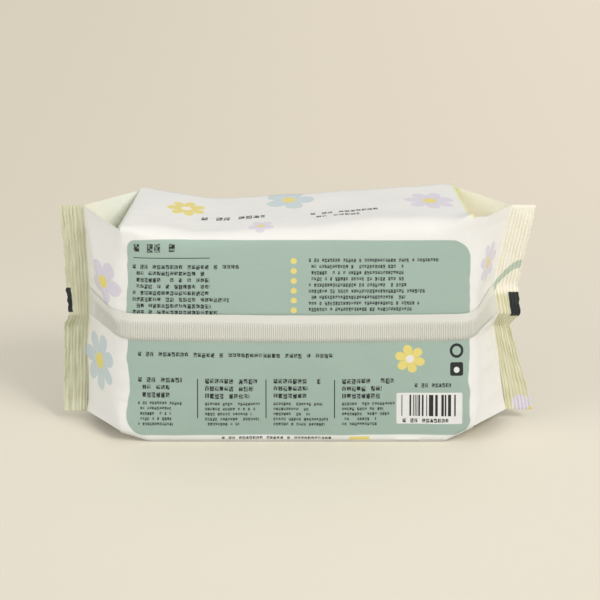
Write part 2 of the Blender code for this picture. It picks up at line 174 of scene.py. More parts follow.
def block_ring(share):
    """One ring of the web round the block, with share from -1 at the left end to 1 at the right."""
    side = 1 if share > 0 else -1
    roundness = smooth_step((1 - abs(share)) / corner_run)
    near_corner = blend(end_radius, near_top_radius, roundness)
    far_corner = blend(end_radius, far_top_radius, roundness)
    foot_corner = blend(end_radius, foot_radius, roundness)
    low = foot_lift[side] * max(0.0, abs(share) - flat_foot) / (1 - flat_foot)
    far_high = block_height + rise_of_top(share)
    near_high = far_high - near_drop * (1 - share) / 2
    bulge = back_bulge * (1 - share * share) * (1 - (2 * panel_rows - 1) ** 2)
    near_heights = blend(low + foot_corner, near_high - near_corner, panel_rows)
    near = np.stack([-front_y - bulge, near_heights], axis=1)
    front_heights = blend(low + foot_corner, far_high - far_corner, panel_rows)
    front = np.stack([np.full_like(front_heights, front_y), front_heights], axis=1)[::-1]
    top = rounded_strip(near_high, near_corner, far_high, far_corner, 1)
    foot = rounded_strip(low, foot_corner, low, foot_corner, -1)[::-1]
    ring = np.concatenate([near[:-1], top[:-1], front[:-1], foot[:-1]])
    shortening = front_shortening[side] * np.clip(ring[:, 0] + front_y, 0, None) / (2 * front_y)
    spread = foot_spread * (1 - ring[:, 1] / block_height)
    return np.column_stack([share * (half_block[side] + spread - shortening), ring])


def seal_line(side, share):
    """The middle of an end seal, up its height, with share 0 at its inner edge and 1 at the cut."""
    line = seal_lines[side]
    keys = ("inner", "outer", "y")
    inner, outer, y = (np.interp(panel_rows, fold_places, line[key]) for key in keys)
    height = blend(line["bottom"], line["top"], panel_rows)
    outer = outer + cut_waver * np.sin(height * 1150 + side) * np.sin(height * 430)
    return np.stack([side * blend(inner, outer, share), y, height], axis=1)


def seal_ring(side, share, wave, slit):
    """One ring through an end seal. Only the one at its inner edge has the gussets' slits open."""
    line = seal_line(side, share)
    line[:, 1] += wave * (1 + rib_unevenness * np.sin(line[:, 2] * 520 + 5 * share + side))
    half = np.array([0.0, seal_thickness / 2, 0.0])
    strips = []
    for edge in (line[::-1], line):
        if slit:
            strip = along_path(edge, gusset_depth * (1 - np.abs(2 * strip_rows - 1)))
            strip[:, 1] += gusset_slit / 2 * np.clip(8 * (strip_rows - 0.5), -1, 1)
            strip[0], strip[-1] = edge[0] - half, edge[0] + half
        else:
            strip = np.repeat(edge[:1], len(strip_rows), axis=0)
            strip[:, 1] += seal_thickness * (strip_rows - 0.5)
            outwards = np.sign(edge[0, 2] - edge[1, 2])
            strip[:, 2] += outwards * fold_round * np.sin(math.pi * strip_rows)
        strips.append(strip)
    top, foot = strips
    return np.concatenate([(line - half)[:-1], top[:-1], (line + half)[::-1][:-1], foot[::-1][:-1]])


def lean(strip, part, ring, top):
    """The shift that keeps a gusset between the flaps, which bend and follow the wavy seal."""
    near, front = ring[: rows_up + 1], ring[front_start : foot_start + 1][::-1]
    towards_last = np.clip((strip_rows - part / 2) / max(1 - part, 1e-6), 0, 1)
    towards_front = (towards_last if top else 1 - towards_last)[:, None]
    edge = -1 if top else 0
    drifts = []
    for panel in (near, front):
        drift = (panel[:, :2] - panel[edge, :2]).T
        drifts.append(np.stack([np.interp(strip[:, 2], panel[:, 2], way) for way in drift], axis=1))
    shift = np.zeros_like(strip)
    shift[:, :2] = blend(drifts[0], drifts[1], towards_front)
    from_edge = np.minimum(strip_rows, 1 - strip_rows)
    apart = gusset_clearance * (1 - 2 * towards_front[:, 0])
    shift[:, 1] += apart * np.minimum(1, 8 * from_edge / part)
    return shift


def tuck(start, end, inwards, share, block_end, seal_start, ring):
    """A long side's rows over the flaps: two wings, and the triangle that narrows between them."""
    corners = block_end[[start, end % web_rows]]
    seals = seal_start[[start, end % web_rows]]
    edges = blend(corners, seals, share)
    ends = blend(corners, seals, apex_reach)
    apex = ends.mean(axis=0) + np.array([0.0, 0.0, inwards * apex_depth])
    rows = np.arange(start, end + 1) % web_rows
    place = strip_rows[:, None]
    from_edge = np.minimum(place, 1 - place)
    is_near = place < 0.5
    top = start == rows_up
    if share > apex_reach:
        at_apex = blend(np.where(is_near, ends[0], ends[1]), apex, 2 * from_edge)
        at_apex = at_apex + lean(at_apex, 1.0, blend(block_end, seal_start, apex_reach), top)
        return blend(at_apex, seal_start[rows], (share - apex_reach) / (1 - apex_reach))
    part = share / apex_reach
    folds = blend(corners, apex, part)
    flap_edge, fold = (np.where(is_near, *pair) for pair in (edges, folds))
    wings = blend(flap_edge, fold, 2 * from_edge / part)
    if share == apex_reach:
        return wings + lean(wings, 1.0, ring, top)
    rounding = block_end[rows] - blend(corners[0], corners[1], place)
    middle = blend(folds[0], folds[1], (place - part / 2) / (1 - part)) + rounding * (1 - part) ** 2
    strip = np.where(from_edge < part / 2 + 1e-9, wings, middle)
    return strip + lean(strip, part, ring, top)


def half_rings(side):
    """All rings of one half of the pack, from its middle outwards to the end seal's cut edge."""
    block_end = block_ring(side)
    seal_start = seal_ring(side, 0.0, 0.0, True)
    flap = seal_start - block_end
    flap_length = np.linalg.norm(flap, axis=1)
    change = flap / flap_length[:, None] - np.array([side, 0.0, 0.0])
    fade = smooth_step(np.minimum(panel_rows, 1 - panel_rows) / bend_fade)
    reach = np.zeros(web_rows)
    reach[: rows_up + 1] = bend_reach * fade
    reach[front_start : foot_start + 1] = bend_reach * fade

    def bend(ring, distance):
        rest = np.clip(reach - distance, 0, None)
        return ring + change * (rest * rest / np.maximum(4 * reach, 1e-9))[:, None]

    rings = []
    for step in range(1 if side > 0 else 0, block_steps // 2 + 1):
        share = step / (block_steps // 2)
        rings.append(bend(block_ring(side * share), (1 - share) * np.abs(block_end[:, 0])))
    shares = [apex_reach * step / wing_steps for step in range(1, wing_steps)] + [apex_reach]
    shares += [blend(apex_reach, 1.0, step / throat_steps) for step in range(1, throat_steps)]
    for share in shares:
        ring = bend(blend(block_end, seal_start, share), share * flap_length)
        if side < 0:
            near = ring[: rows_up + 1]
            climb = np.clip((near[:, 2] - buckle_low) / (buckle_high - buckle_low), 0, 1)
            crest = blend(*buckle_crest, climb)
            from_crest = np.minimum(share / crest, (1 - share) / (1 - crest))
            near += np.outer(buckle_rise * np.sin(math.pi * climb) * from_crest, buckle_way)
        for start, end, inwards in long_sides:
            strip = tuck(start, end, inwards, share, block_end, seal_start, ring)
            ring[start:end] = strip[:-1]
        rings.append(ring)
    rings.append(seal_start)
    for step in range(steps_per_rib * seal_ribs + 1):
        share = blend(seal_shoulder, 1.0, step / (steps_per_rib * seal_ribs))
        wave = rib_depth / 2 * math.sin(2 * math.pi * step / steps_per_rib)
        rings.append(seal_ring(side, share, wave, False))
    return rings


left_rings, right_rings = half_rings(-1), half_rings(1)
web = np.array(left_rings[::-1] + right_rings)
web_stations = len(web)
middle_station = len(left_rings) - 1
left_end = middle_station - block_steps // 2
right_end = middle_station + block_steps // 2
flap_steps = wing_steps + throat_steps
left_seal, right_seal = left_end - flap_steps, right_end + flap_steps

# The back panel's upper right corner is puffed up
web_x, web_y, web_z = np.moveaxis(web, 2, 0)
puffed = rising(web_x, 0.066, 0.009) * (1 - rising(web_x, 0.075, 0.013))
puffed *= rising(web_z, 0.088, 0.012) * (1 - rising(web_y, -front_y, 0.014))
web_z += puff_rise * puffed

# Places on the flat web: along it through the middle of the back panel, and round it from the foot
middle_row = int(np.argmin(np.abs(panel_rows - 0.5)))
along = path_lengths(web[:, middle_row])
along -= along[middle_station]
across = np.empty((web_stations, web_rows + 1))
for i in range(web_stations):
    ring = web[min(max(i, left_end), right_end)]
    lengths = path_lengths(np.concatenate([ring, ring[:1]]))
    across[i] = lengths - lengths[middle_row] + ring[middle_row, 2]

# Slack in the film: soft undulations, finer wrinkles that start at the end seals, and pressed dents
slack_depth = 0.0008
wrinkle_depth = 0.00035
streak_depth = 0.0010
streak_fade = 0.018
normals = np.cross(np.roll(web, -1, axis=1) - np.roll(web, 1, axis=1), np.gradient(web, axis=0))
normals /= np.maximum(np.linalg.norm(normals, axis=2, keepdims=True), 1e-9)
normals *= np.sign(-normals[middle_station, middle_row, 1])
slack = np.zeros(web.shape[:2])
for i in range(left_seal, right_seal + 1):
    for j in range(web_rows):
        u, v = along[i], across[i, j]
        soft = slack_depth * noise.noise(Vector((u * 28, v * 34, 0.3)))
        soft += wrinkle_depth * noise.noise(Vector((u * 75, v * 60, 4.1)))
        from_seal = min(u - along[left_seal], along[right_seal] - u)
        streak = noise.noise(Vector((u * 20, v * 210, 7.7 if u > 0 else 2.2)))
        slack[i, j] = soft + streak_depth * streak * math.exp(-from_seal / streak_fade)
# Each dent's place on the web, its reach along and round it, and its depth
dents = (
    (-0.080, 0.088, 0.012, 0.006, -0.0007),
    (-0.084, 0.024, 0.007, 0.016, 0.0009),
    (0.083, 0.080, 0.007, 0.014, 0.0010),
    (0.086, 0.026, 0.006, 0.014, -0.0006),
    (-0.040, 0.104, 0.018, 0.008, -0.0008),
    (0.030, 0.106, 0.024, 0.008, 0.0006),
)
for u, v, long, wide, depth in dents:
    from_middle = ((along[:, None] - u) / long) ** 2 + ((across[:, :-1] - v) / wide) ** 2
    slack += depth * np.exp(-from_middle)
# The film stays calm at the seals, in the gussets, along the foot and under the lid
from_seals = np.minimum(along - along[left_seal], along[right_seal] - along)
calm = np.repeat(np.clip(from_seals / 0.006, 0, 1)[:, None], web_rows, axis=1)
on_flap = (np.arange(web_stations) <= left_end) | (np.arange(web_stations) >= right_end)
for start, end, _ in long_sides:
    calm[on_flap, start : end + 1] = 0.0
calm[:, foot_start:] = 0.0
calm[:, 0] = 0.0
lid_reach, lid_fade = 0.056, 0.012
beside_lid = np.clip((np.abs(along) - lid_reach) / lid_fade, 0, 1)
calm[:, front_start : foot_start + 1] *= beside_lid[:, None]
from_side = np.zeros(web_rows)
from_side[: rows_up + 1] = np.minimum(panel_rows, 1 - panel_rows)
from_side[front_start : foot_start + 1] = np.minimum(panel_rows, 1 - panel_rows)[::-1]
# Nothing sinks deep, least of all beside the gussets, whose wings lie close behind the flaps
beside_gusset = on_flap[:, None] & (from_side < 0.30)
deepest = np.where(beside_gusset, -0.0001, -0.0010)
web += normals * (np.maximum(slack * calm, deepest) * (calm > 0))[:, :, None]
front_panel = web_y[:, front_start : foot_start + 1]
np.minimum(front_panel, front_y, out=front_panel)

# Jaw teeth cut the outer edges into small points
for side, station, neighbour in ((-1, 0, 1), (1, web_stations - 1, web_stations - 2)):
    teeth = np.abs(((web_z[station] / tooth_pitch) % 1.0) - 0.5) * 2
    web_x[station] += side * tooth_depth * (teeth - 0.5)
    web_x[neighbour] += side * tooth_depth / 3 * (teeth - 0.5)


def grid_sheet(stations, rows, web_place):
    """A flat grid, with each vertex's station and row, and its place on the web as its UV."""
    mesh = bmesh.new()
    bmesh.ops.create_grid(mesh, x_segments=stations - 1, y_segments=rows, size=0.5)
    uv_map = mesh.loops.layers.uv.new("web")
    place = {}
    for vert in mesh.verts:
        place[vert] = (round((vert.co.x + 0.5) * (stations - 1)), round((vert.co.y + 0.5) * rows))
    for face in mesh.faces:
        for loop in face.loops:
            loop[uv_map].uv = web_place(*place[loop.vert])
    return mesh, place


def closed_sheet(mesh, place, points, cap_place=None):
    """Folds the sheet through its points, joins its first row to its last and caps its ends."""
    rows = points.shape[1]
    for vert, (i, j) in place.items():
        vert.co = Vector(points[i, j % rows])
    seam = [vert for vert, (i, j) in place.items() if j in (0, rows)]
    bmesh.ops.remove_doubles(mesh, verts=seam, dist=1e-7)
    cut_edges = [edge for edge in mesh.edges if edge.is_boundary]
    caps = bmesh.ops.holes_fill(mesh, edges=cut_edges, sides=0)["faces"]
    if cap_place:
        uv_map = mesh.loops.layers.uv["web"]
        for loop in (loop for face in caps for loop in face.loops):
            loop[uv_map].uv = cap_place(loop.vert.co)
    bmesh.ops.triangulate(mesh, faces=caps)
    bmesh.ops.recalc_face_normals(mesh, faces=mesh.faces)


def object_from(mesh, name, sharp_angle):
    """The finished mesh as a smooth-shaded object of the scene."""
    for face in mesh.faces:
        face.smooth = True
    data = bpy.data.meshes.new(name)
    mesh.to_mesh(data)
    mesh.free()
    data.set_sharp_from_angle(angle=math.radians(sharp_angle))
    thing = bpy.data.objects.new(name, data)
    bpy.context.scene.collection.objects.link(thing)
    return thing


mesh, place = grid_sheet(web_stations, web_rows, lambda i, j: (along[i], across[i, j]))
at = {station_and_row: vert for vert, station_and_row in place.items()}
# An edge runs along each gusset's two diagonal folds
for block_end, way_out in ((left_end, -1), (right_end, 1)):
    for start, end, _ in long_sides:
        for corner, way_in in ((start, 1), (end, -1)):
            for step in range(wing_steps):
                pair = [at[block_end + way_out * k, corner + way_in * k] for k in (step, step + 1)]
                shared = set(pair[0].link_faces) & set(pair[1].link_faces)
                bmesh.utils.face_split(shared.pop(), *pair)
closed_sheet(mesh, place, web, lambda co: (math.copysign(along[-1], co.x), co.z))
film_wrapper = object_from(mesh, "film_wrapper", 50)
film_data = film_wrapper.data


def ink(red, green, blue):
    """A printed colour as seen, 0 to 255, as the linear value that a shader takes."""
    levels = [value / 255 for value in (red, green, blue)]
    return (*[x / 12.92 if x < 0.04045 else ((x + 0.055) / 1.055) ** 2.4 for x in levels], 1.0)


def new_group(name, inputs, *outputs, kind="NodeSocketFloat"):
    """An empty shader node group with its named sockets, and its two end nodes."""
    group = bpy.data.node_groups.new(name, "ShaderNodeTree")
    for label, input_kind, value in inputs:
        socket = group.interface.new_socket(label, in_out="INPUT", socket_type=input_kind)
        if value is not None:
            socket.default_value = value
    for label in outputs:
        group.interface.new_socket(label, in_out="OUTPUT", socket_type=kind)
    return group, group.nodes.new("NodeGroupInput"), group.nodes.new("NodeGroupOutput")


def maths(tree, operation, *values):
    node = tree.nodes.new("ShaderNodeMath")
    node.operation = operation
    for socket, value in zip(node.inputs, values):
        connect(tree, value, socket)
    return node.outputs[0]


def connect(tree, value, socket):
    if isinstance(value, bpy.types.NodeSocket):
        tree.links.new(value, socket)
    else:
        socket.default_value = value


def join(tree, *parts):
    node = tree.nodes.new("ShaderNodeCombineXYZ")
    for socket, value in zip(node.inputs, parts):
        connect(tree, value, socket)
    return node.outputs[0]


def paint(tree, mask, under, over):
    """Lays a colour over another one where the mask is 1."""
    node = tree.nodes.new("ShaderNodeMix")
    node.data_type = "RGBA"
    for socket, value in zip([item for item in node.inputs if item.enabled], (mask, under, over)):
        connect(tree, value, socket)
    return [item for item in node.outputs if item.enabled][0]


def ramp(tree, value, low, high, start=0.0, end=1.0):
    node = tree.nodes.new("ShaderNodeMapRange")
    node.interpolation_type = "SMOOTHSTEP"
    names = ("Value", "From Min", "From Max", "To Min", "To Max")
    for name, item in zip(names, (value, low, high, start, end)):
        connect(tree, item, node.inputs[name])
    return node.outputs["Result"]


def speckle(tree, vector, scale):
    node = tree.nodes.new("ShaderNodeTexNoise")
    node.inputs["Scale"].default_value = scale
    node.inputs["Detail"].default_value = 2.0
    tree.links.new(vector, node.inputs["Vector"])
    return node.outputs["Fac"]


def chance(tree, number):
    node = tree.nodes.new("ShaderNodeTexWhiteNoise")
    node.noise_dimensions = "1D"
    connect(tree, number, node.inputs["W"])
    return node.outputs["Value"]


def length_of(tree, x, y):
    return maths(tree, "SQRT", maths(tree, "MULTIPLY_ADD", x, x, maths(tree, "MULTIPLY", y, y)))


def place_group(tree, group, **values):
    node = tree.nodes.new("ShaderNodeGroup")
    node.node_tree = group
    for name, value in values.items():
        connect(tree, value, node.inputs[name.replace("_", " ")])
    return node


def new_material(name):
    """A material with nodes, together with its node tree and its Principled shader."""
    material = bpy.data.materials.new(name)
    material.use_nodes = True
    return material, material.node_tree, material.node_tree.nodes["Principled BSDF"]


def parts_of(tree, vector):
    node = tree.nodes.new("ShaderNodeSeparateXYZ")
    tree.links.new(vector, node.inputs[0])
    return node.outputs


def object_place(tree):
    return tree.nodes.new("ShaderNodeTexCoord").outputs["Object"]


def add_bump(tree, shader, height, strength, distance):
    bump = tree.nodes.new("ShaderNodeBump")
    bump.inputs["Strength"].default_value = strength
    bump.inputs["Distance"].default_value = distance
    tree.links.new(height, bump.inputs["Height"])
    tree.links.new(bump.outputs["Normal"], shader.inputs["Normal"])


def numbers(**values):
    """Number sockets of a group, with the value that each one starts from."""
    return tuple((key.replace("_", " "), "NodeSocketFloat", value) for key, value in values.items())


spot = numbers(Along=0.0, Across=0.0, Centre_along=0.0, Centre_across=0.0)

# A patch with round corners. Like the rest of the print, it is in millimetres of web
patch_group, start, end = new_group(
    "rounded patch",
    spot + numbers(Half_length=1.0, Half_width=1.0, Corner=1.0, Blur=0.15),
    "Mask",
)
tree, given = patch_group, start.outputs
beyond = []
for way, half in (("along", "Half length"), ("across", "Half width")):
    offset = maths(tree, "SUBTRACT", given[way.capitalize()], given["Centre " + way])
    offset = maths(tree, "ABSOLUTE", offset)
    inner = maths(tree, "SUBTRACT", given[half], given["Corner"])
    beyond.append(maths(tree, "SUBTRACT", offset, inner))
outside = length_of(tree, *[maths(tree, "MAXIMUM", value, 0.0) for value in beyond])
inside = maths(tree, "MINIMUM", maths(tree, "MAXIMUM", *beyond), 0.0)
distance = maths(tree, "SUBTRACT", maths(tree, "ADD", outside, inside), given["Corner"])
blur_start = maths(tree, "MULTIPLY", given["Blur"], -1.0)
tree.links.new(ramp(tree, distance, blur_start, given["Blur"], 1.0, 0.0), end.inputs["Mask"])

# A plain round-petalled flower
flower_group, start, end = new_group(
    "simple flower",
    spot + numbers(Size=10.0, Turn=0.0, Petals=7.0),
    "Petal mask",
    "Eye mask",
    "Vein",
)
tree, given = flower_group, start.outputs
petal_roundness = 0.42
petal_share = 0.66
offset_x = maths(tree, "SUBTRACT", given["Along"], given["Centre along"])
offset_y = maths(tree, "SUBTRACT", given["Across"], given["Centre across"])
reach = maths(tree, "DIVIDE", length_of(tree, offset_x, offset_y), given["Size"])
angle = maths(tree, "ADD", maths(tree, "ARCTAN2", offset_y, offset_x), given["Turn"])
half_turns = maths(tree, "MULTIPLY", angle, maths(tree, "MULTIPLY", given["Petals"], 0.5))
lobe = maths(tree, "ABSOLUTE", maths(tree, "COSINE", half_turns))
lobe = maths(tree, "POWER", lobe, petal_roundness)
edge = maths(tree, "MULTIPLY_ADD", lobe, petal_share, 1 - petal_share)
petal_mask = ramp(tree, maths(tree, "SUBTRACT", reach, edge), -0.03, 0.03, 1.0, 0.0)
tree.links.new(petal_mask, end.inputs["Petal mask"])
tree.links.new(ramp(tree, reach, 0.25, 0.29, 1.0, 0.0), end.inputs["Eye mask"])
tree.links.new(ramp(tree, lobe, 0.05, 0.75, 1.0, 0.0), end.inputs["Vein"])

# Lines of print too small to read, as rows of bars of uneven height, with gaps between the words
lines_group, start, end = new_group(
    "small print",
    spot + numbers(Width=50.0, Rows=5.0, Pitch=2.8, Mark=1.2, Share=0.62, Seed=0.0),
    "Mask",
)
tree, given = lines_group, start.outputs
stroke_ink = 0.62
offset_x = maths(tree, "SUBTRACT", given["Along"], given["Centre along"])
offset_y = maths(tree, "SUBTRACT", given["Centre across"], given["Across"])
lines_down = maths(tree, "DIVIDE", offset_y, given["Pitch"])
line_seed = maths(tree, "MULTIPLY_ADD", maths(tree, "FLOOR", lines_down), 71.3, given["Seed"])
marks = maths(tree, "DIVIDE", offset_x, given["Mark"])
mark_seed = maths(tree, "ADD", maths(tree, "FLOOR", marks), line_seed)
mark_chance = chance(tree, mark_seed)
strokes_across = maths(tree, "FLOOR", maths(tree, "MULTIPLY", marks, 3.7))
strokes_down = maths(tree, "FLOOR", maths(tree, "MULTIPLY", lines_down, 6.3))
stroke_seed = maths(tree, "MULTIPLY_ADD", strokes_down, 37.7, strokes_across)
stroke = ramp(tree, chance(tree, stroke_seed), 0.30, 0.50)
line_share = ramp(tree, chance(tree, line_seed), 0, 1, 0.62, 1)
line_end = maths(tree, "MULTIPLY", given["Width"], line_share)
least_height = maths(tree, "SUBTRACT", given["Share"], 0.2)
mark_height = maths(tree, "MULTIPLY_ADD", mark_chance, 0.25, least_height)
from_line = maths(tree, "FRACT", lines_down)
from_mark = maths(tree, "FRACT", marks)
height_blur = maths(tree, "SUBTRACT", mark_height, 0.06)
tests = (
    maths(tree, "GREATER_THAN", lines_down, 0.0),
    maths(tree, "LESS_THAN", lines_down, given["Rows"]),
    maths(tree, "GREATER_THAN", offset_x, 0.0),
    maths(tree, "LESS_THAN", offset_x, line_end),
    maths(tree, "GREATER_THAN", mark_chance, 0.16),
    ramp(tree, from_line, 0.04, 0.12),
    ramp(tree, from_line, height_blur, mark_height, 1.0, 0.0),
    ramp(tree, from_mark, 0.0, 0.1),
    ramp(tree, from_mark, 0.80, 0.92, 1.0, 0.0),
    maths(tree, "MULTIPLY_ADD", stroke, stroke_ink, 1 - stroke_ink),
)
mask = tests[0]
for test in tests[1:]:
    mask = maths(tree, "MULTIPLY", mask, test)
tree.links.new(mask, end.inputs["Mask"])

# Fine creases of the film, as a height for a bump
crease_group, start, end = new_group(
    "film creases",
    (("Place", "NodeSocketVector", None), *numbers(Size=0.28, Crease=0.5)),
    "Height",
)
tree = crease_group
soft = tree.nodes.new("ShaderNodeTexNoise")
soft.inputs["Detail"].default_value = 3.0
sharp = tree.nodes.new("ShaderNodeTexVoronoi")
sharp.feature = "DISTANCE_TO_EDGE"
for node, factor in ((soft, 1.0), (sharp, 0.35)):
    tree.links.new(start.outputs["Place"], node.inputs["Vector"])
    scale = maths(tree, "MULTIPLY", start.outputs["Size"], factor)
    tree.links.new(scale, node.inputs["Scale"])
ridge = ramp(tree, sharp.outputs["Distance"], 0.0, 0.16, 1.0, 0.0)
height = maths(tree, "MULTIPLY_ADD", ridge, start.outputs["Crease"], soft.outputs["Fac"])
tree.links.new(height, end.inputs["Height"])

cream = ink(244, 242, 236)
top_white = ink(240, 238, 232)
gusset_cream = ink(247, 243, 226)
sage = ink(168, 189, 176)
foot_green = ink(206, 212, 180)
black_ink = ink(36, 42, 40)
lilac = ink(226, 219, 229)
mist_blue = ink(207, 218, 219)
butter = ink(238, 220, 128)
left_end_mm, right_end_mm = along[left_seal] * 1000, along[right_seal] * 1000
front_v = across[middle_station, front_start] * 1000

# The ground colours of the whole web, under the print
ground_group, start, end = new_group(
    "film ground", numbers(Along=0.0, Across=0.0), "Color", kind="NodeSocketColor"
)
tree = ground_group
gusset_start = 76.0
u, v = start.outputs["Along"], start.outputs["Across"]
far_out = maths(tree, "ABSOLUTE", u)
right_half = maths(tree, "GREATER_THAN", u, 0.0)
past = {}
for row in (rows_up, front_start, foot_start):
    at_left, at_right = across[left_end, row] * 1000, across[right_end, row] * 1000
    fold = maths(tree, "MULTIPLY_ADD", right_half, at_right - at_left, at_left)
    past[row] = ramp(tree, maths(tree, "SUBTRACT", v, fold), -0.3, 0.3)
on_top = maths(tree, "SUBTRACT", past[rows_up], past[front_start])
over_long_side = maths(tree, "ADD", on_top, past[foot_start])
past_block = ramp(tree, far_out, gusset_start, gusset_start + 1)
gusset = maths(tree, "MULTIPLY", past_block, over_long_side)
# A gusset's cream turns cooler towards the left block and darker there as painted shade, and
# yellow-green by the right one's fold
left_shade_ramp = ramp(tree, far_out, 88, 106)
left_gusset_tone_and_shade = paint(tree, left_shade_ramp, ink(236, 238, 226), gusset_cream)
right_tint = ramp(tree, far_out, 77, 82)
right_gusset = paint(tree, right_tint, ink(236, 237, 182), gusset_cream)
gusset_colour = paint(tree, right_half, left_gusset_tone_and_shade, right_gusset)
ground = paint(tree, ramp(tree, v, 90.0, 104.0), cream, top_white)
ground = paint(tree, gusset, ground, gusset_colour)
ground = paint(tree, ramp(tree, v, 1.2, 1.7, 1.0, 0.0), ground, foot_green)
# The end seals keep their yellow-green print. The lighter streaks along their ribs are painted
# highlights. The left seal's darker olive is partly print and partly painted shade, and the right
# seal is darker below its fold as painted shade.
on_left = ramp(tree, u, left_end_mm - 0.4, left_end_mm + 0.4, 1.0, 0.0)
on_right = ramp(tree, u, right_end_mm - 0.4, right_end_mm + 0.4)
stretched = [maths(tree, "MULTIPLY", value, scale) for value, scale in ((u, 1.3), (v, 0.06))]
seal_highlight_streaks = speckle(tree, join(tree, *stretched), 1.0)
highlight_streak_mask = ramp(tree, seal_highlight_streaks, 0.35, 0.68)
left_seal_shade_and_highlights = paint(tree, highlight_streak_mask, ink(203, 203, 166), ink(228, 226, 200))
right_low_shade_and_highlights = paint(tree, highlight_streak_mask, ink(217, 213, 172), ink(236, 232, 205))
right_high_highlights = paint(tree, highlight_streak_mask, ink(250, 243, 218), ink(254, 250, 238))
right_seal_shade_and_highlights = paint(tree, ramp(tree, v, 60.0, 63.0), right_low_shade_and_highlights, right_high_highlights)
ground = paint(tree, on_left, ground, left_seal_shade_and_highlights)
ground = paint(tree, on_right, ground, right_seal_shade_and_highlights)
tree.links.new(ground, end.inputs["Color"])


class FilmPrint:
    """One part of the web's print, with the ground colours under it, in millimetres of web."""

    def __init__(self, name):
        self.material, self.tree, self.shader = new_material(name)
        web_uv = self.tree.nodes.new("ShaderNodeUVMap")
        web_uv.uv_map = "web"
        in_mm = self.tree.nodes.new("ShaderNodeMapping")
        in_mm.inputs["Scale"].default_value = (1000.0, 1000.0, 1000.0)
        self.tree.links.new(web_uv.outputs["UV"], in_mm.inputs["Vector"])
        self.web = in_mm.outputs["Vector"]
        self.along, self.across, _ = parts_of(self.tree, self.web)
        self.far_along = maths(self.tree, "ABSOLUTE", self.along)
        ground = place_group(self.tree, ground_group, Along=self.along, Across=self.across)
        self.colour = ground.outputs["Color"]

    def stamp(self, group, x, y, along_web=None, **sizes):
        """Sets a group of the print at a place on the web."""
        web_place = {"Along": along_web or self.along, "Across": self.across}
        node = place_group(self.tree, group, **web_place, Centre_along=x, Centre_across=y, **sizes)
        return node.outputs

    def patch(self, x, y, half_x, half_y, corner=0.4, blur=0.12, along_web=None):
        sizes = {"Half_length": half_x, "Half_width": half_y, "Corner": corner, "Blur": blur}
        return self.stamp(patch_group, x, y, along_web, **sizes)["Mask"]

    def small_print(self, x, y, width, rows, pitch, mark, share, along_web=None, seed=0.0):
        sizes = {"Width": width, "Rows": rows, "Pitch": pitch, "Mark": mark, "Share": share}
        return self.stamp(lines_group, x, y, along_web, **sizes, Seed=seed)["Mask"]

    def ink_on(self, mask, colour):
        self.colour = paint(self.tree, mask, self.colour, colour)

    def flower(self, x, y, size, turn, petals, petal_colour, eye_colour):
        masks = self.stamp(flower_group, x, y, Size=size, Turn=turn, Petals=petals)
        deeper = (*[0.86 * value for value in petal_colour[:3]], 1.0)
        shade = paint(self.tree, masks["Vein"], petal_colour, deeper)
        self.ink_on(masks["Petal mask"], shade)
        self.ink_on(masks["Eye mask"], eye_colour)

    def finish(self):
        self.tree.links.new(self.colour, self.shader.inputs["Base Color"])
        self.shader.inputs["Roughness"].default_value = 0.36
        self.shader.inputs["Specular IOR Level"].default_value = 0.45
        creases = place_group(self.tree, crease_group, Place=self.web, Size=0.28, Crease=0.18)
        add_bump(self.tree, self.shader, creases.outputs["Height"], 0.40, 0.0004)
        return self.material


# Label field on the back panel, with an uneven left edge where the film curves away. The fin seal
# parts its print into an upper and a lower half.
upper_label, lower_label = FilmPrint("upper_label_print"), FilmPrint("lower_label_print")
for label in (upper_label, lower_label):
    wander = maths(label.tree, "MULTIPLY_ADD", speckle(label.tree, label.web, 0.055), 5.0, -2.5)
    at_ends = ramp(label.tree, label.far_along, 66.0, 74.0)
    warped = maths(label.tree, "MULTIPLY_ADD", wander, at_ends, label.along)
    label.ink_on(label.patch(0.8, 49.0, 75.6, 45.4, 8.0, 0.25, warped), sage)
    if label is upper_label:
        label.ink_on(label.patch(-59.8, 79.4, 15.0, 15.0, 3.5, 0.25, warped), sage)

# Small print, generic and unreadable: a corner, its width, rows, pitch, mark size and height share
for text_block in (
    (-72.0, 93.0, 22.0, 1.0, 5.0, 3.2, 0.85),
    (-72.5, 83.6, 55.0, 8.0, 2.95, 1.9, 0.78),
    (5.0, 86.6, 66.0, 9.0, 2.75, 1.15, 0.72),
):
    upper_label.ink_on(upper_label.small_print(*text_block), black_ink)
upper_label.ink_on(upper_label.patch(-55.0, 86.4, 17.0, 0.18, 0.1, 0.08), black_ink)
for step in range(6):
    upper_label.ink_on(upper_label.patch(-1.5, 85.2 - 4.4 * step, 1.3, 1.3, 1.3), butter)
film_data.materials.append(upper_label.finish())

# Four columns of small print with thin rules between them, under one wide line
label, tree = lower_label, lower_label.tree
column_width = 29.8
column = maths(tree, "DIVIDE", maths(tree, "ADD", label.along, 73.5), column_width)
column = maths(tree, "FLOOR", column)
in_column = maths(tree, "MULTIPLY_ADD", column, -column_width, label.along)
column_seed = maths(tree, "MULTIPLY", column, 13.7)
from_columns = maths(tree, "ABSOLUTE", maths(tree, "ADD", label.along, 14.0))
columns = maths(tree, "LESS_THAN", from_columns, 57.0)
for text_block in (
    (-70.0, 31.6, 23.0, 3.0, 3.6, 2.1, 0.78),
    (-70.0, 20.0, 24.0, 5.0, 2.5, 1.1, 0.70),
):
    lines = label.small_print(*text_block, in_column, column_seed)
    label.ink_on(maths(tree, "MULTIPLY", lines, columns), black_ink)
from_rule = maths(tree, "ABSOLUTE", maths(tree, "ADD", in_column, 73.2))
rules = maths(tree, "LESS_THAN", from_rule, 0.22)
rules = maths(tree, "MULTIPLY", rules, label.patch(-14.0, 21.5, 34.0, 9.5, 0.1, 0.08))
label.ink_on(rules, black_ink)
